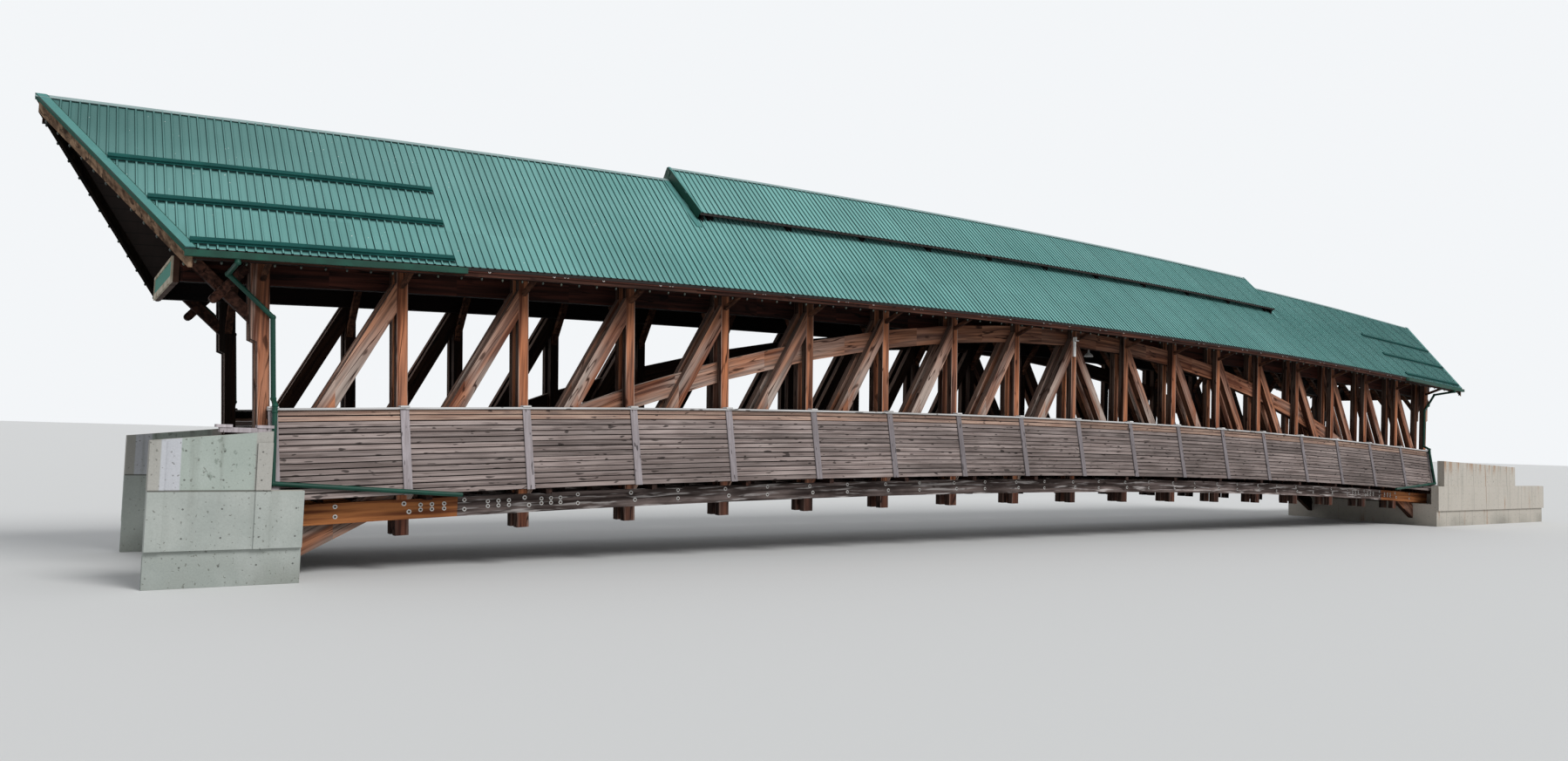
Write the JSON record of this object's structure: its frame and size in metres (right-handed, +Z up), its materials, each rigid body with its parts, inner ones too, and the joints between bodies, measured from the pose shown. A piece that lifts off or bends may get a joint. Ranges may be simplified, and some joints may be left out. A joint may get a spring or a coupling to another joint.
{
  "type": "covered bridge, 1:2 scale model",
  "caption": "Long cambered covered timber footbridge with arched kingpost trusses, boarded skirts, steep metal roof with a raised ridge roof, and concrete abutments.",
  "frame": {"origin": "on the deck surface at midspan, on the bridge centreline", "axes": "+X along the bridge to the end with the long wing walls, +Y across it, +Z up"},
  "size_m": [29.9, 3.4766, 5.0852],
  "materials": {
    "concrete": "cast concrete, matt, with stains and tie holes",
    "roof_metal": "green painted ribbed sheet, satin",
    "green_pipe": "green painted sheet, satin",
    "weathered_boards": "weathered grey boards, matt",
    "dark_timber": "dark weathered heavy timber, matt",
    "light_timber": "light brown boards, matt",
    "timber": "red-brown heavy timber with checks, matt",
    "sign_panel": "painted board, blank",
    "lamp_enamel": "white enamel"
  },
  "bodies": {
    "root": {"left_abutment": "concrete", "left_backwall": "concrete", "left_wing_walls": "concrete", "right_abutment": "concrete", "right_backwall": "concrete", "right_wing_walls": "concrete", "near_bottom_chord": "dark_timber", "far_bottom_chord": "dark_timber", "near_posts": "timber", "far_posts": "timber", "near_braces": "timber", "far_braces": "timber", "near_arch": "timber", "far_arch": "timber", "near_top_chord": "timber", "far_top_chord": "timber", "post_feet": "timber", "floor_joists": "timber", "deck": "weathered_boards", "near_skirt": "weathered_boards", "far_skirt": "weathered_boards", "skirt_battens": "weathered_boards", "rail_caps": "weathered_boards", "rail_girts": "timber", "skirt_brackets": "timber", "tie_beams": "timber", "knee_braces": "timber", "eave_struts": "timber", "eave_purlins": "timber", "rafters": "timber", "ridge_beam": "timber", "near_roof": "roof_metal", "far_roof": "roof_metal", "raised_roof": "roof_metal", "raised_roof_rafters": "timber", "ridge_flashing": "roof_metal", "rake_boards": "light_timber", "snow_stops": "roof_metal", "gutters": "green_pipe", "downspouts": "green_pipe", "portal_braces": "timber", "sign_boards": "sign_panel", "lamps": "lamp_enamel"}
  },
  "joints": []
}
